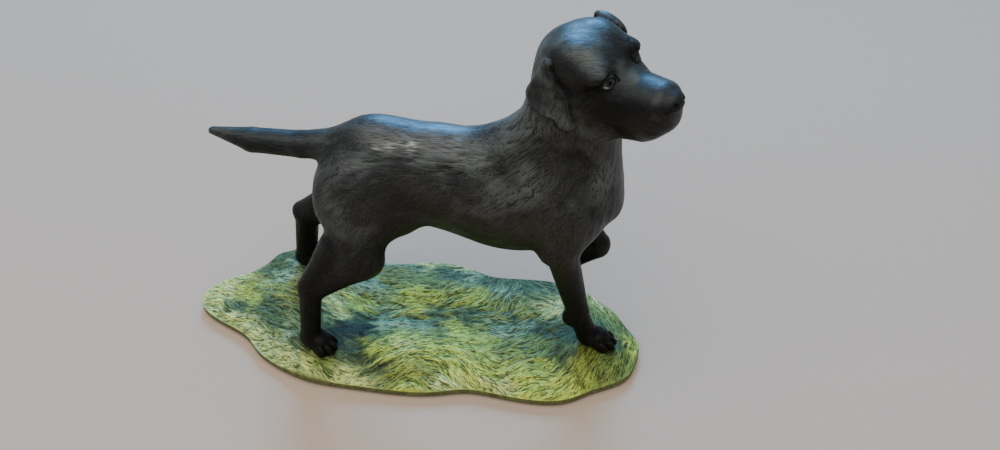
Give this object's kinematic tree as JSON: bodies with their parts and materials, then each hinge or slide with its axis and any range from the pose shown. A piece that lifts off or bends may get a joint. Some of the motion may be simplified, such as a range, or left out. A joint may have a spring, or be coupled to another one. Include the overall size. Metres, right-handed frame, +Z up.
{
  "type": "labrador retriever figurine",
  "caption": "Painted figurine of a standing black labrador with one foreleg raised, on a thin base of rough grass.",
  "frame": {"origin": "middle of the base's flat underside", "axes": "+X towards the dog's head, +Y to the dog's left, +Z up"},
  "size_m": [0.3187, 0.1207, 0.2546],
  "materials": {
    "dog_paint": "cast resin, hand painted charcoal black, satin",
    "grass_paint": "cast resin, hand painted yellow-green with blue-green hollows and a dark wash"
  },
  "bodies": {
    "root": {"dog_figure": "dog_paint", "grass_base": "grass_paint"}
  },
  "joints": []
}
